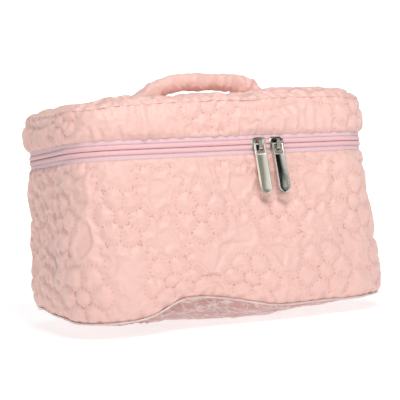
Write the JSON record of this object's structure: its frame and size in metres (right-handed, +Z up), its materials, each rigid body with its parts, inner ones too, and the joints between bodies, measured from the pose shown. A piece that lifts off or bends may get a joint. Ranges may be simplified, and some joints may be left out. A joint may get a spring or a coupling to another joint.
{
  "type": "makeup bag",
  "caption": "Soft quilted train-case makeup bag: padded body, padded lid hinged along the back, two-way zip round three sides, and a padded top handle.",
  "frame": {"origin": "middle of the flat face under the bottom that the bag stands on", "axes": "+Z up, +X along the bag's width to the right, the front with the sliders faces -Y, the hinged back faces +Y"},
  "size_m": [0.283, 0.1838, 0.21],
  "materials": {
    "quilted_cloth": "satin blush-pink polyester, quilted in daisies",
    "bottom_cloth": "the same cloth, crinkled and in shade, slightly darker",
    "lining_cloth": "plain thin polyester lining",
    "binding_tape": "ribbed binding tape",
    "wadding": "white polyester wadding and foam",
    "clear_piping": "pale, slightly translucent piping",
    "zip_tape": "lavender-pink woven zip tape",
    "zip_coil": "pink nylon coil",
    "slider_nickel": "polished dark nickel plating",
    "pull_nickel": "polished nickel plating, faintly hammered"
  },
  "bodies": {
    "body": {"body_wall": "quilted_cloth", "body_wadding": "wadding", "body_lining": "lining_cloth", "body_rim_binding": "binding_tape", "bottom_panel": "bottom_cloth", "bottom_wadding": "wadding", "bottom_lining": "lining_cloth", "bottom_bead": "clear_piping", "zip_tape_lower": "zip_tape", "zip_coil_lower": "zip_coil", "zip_tab_left": "zip_tape", "zip_tab_right": "zip_tape", "hinge_strip_lower": "quilted_cloth"},
    "lid": {"lid_wall": "quilted_cloth", "lid_wadding": "wadding", "lid_lining": "lining_cloth", "lid_rim_binding": "binding_tape", "lid_top": "quilted_cloth", "lid_top_wadding": "wadding", "lid_top_lining": "lining_cloth", "zip_tape_upper": "zip_tape", "zip_coil_upper": "zip_coil", "hinge_strip_upper": "quilted_cloth", "handle_anchor_left": "quilted_cloth", "handle_anchor_right": "quilted_cloth"},
    "handle": {"handle_cover": "quilted_cloth", "handle_core": "wadding"},
    "slider_left": {"slider_left": "slider_nickel"},
    "slider_right": {"slider_right": "slider_nickel"},
    "pull_left": {"pull_left": "pull_nickel"},
    "pull_right": {"pull_right": "pull_nickel"}
  },
  "joints": [
    {"name": "lid_open", "type": "hinge", "parent": "body", "child": "lid", "pos_m": [0, 0.0845, 0.143], "axis": [-1, 0, 0], "range_deg": [0, 150]},
    {"name": "handle_tip", "type": "hinge", "parent": "lid", "child": "handle", "pos_m": [0, 0, 0.1913], "axis": [1, 0, 0], "range_deg": [-45, 45], "stiffness_Nm_per_rad": 0.03},
    {"name": "slider_left_run", "type": "slide", "parent": "body", "child": "slider_left", "axis": [1, 0, 0], "range_m": [-0.104, 0]},
    {"name": "slider_right_run", "type": "slide", "parent": "body", "child": "slider_right", "axis": [1, 0, 0], "range_m": [0, 0.048]},
    {"name": "pull_left_swing", "type": "hinge", "parent": "slider_left", "child": "pull_left", "pos_m": [0.02, -0.0842, 0.143], "axis": [-1, 0, 0], "range_deg": [0, 150]},
    {"name": "pull_right_swing", "type": "hinge", "parent": "slider_right", "child": "pull_right", "pos_m": [0.0364, -0.0842, 0.143], "axis": [-1, 0, 0], "range_deg": [0, 150]}
  ]
}
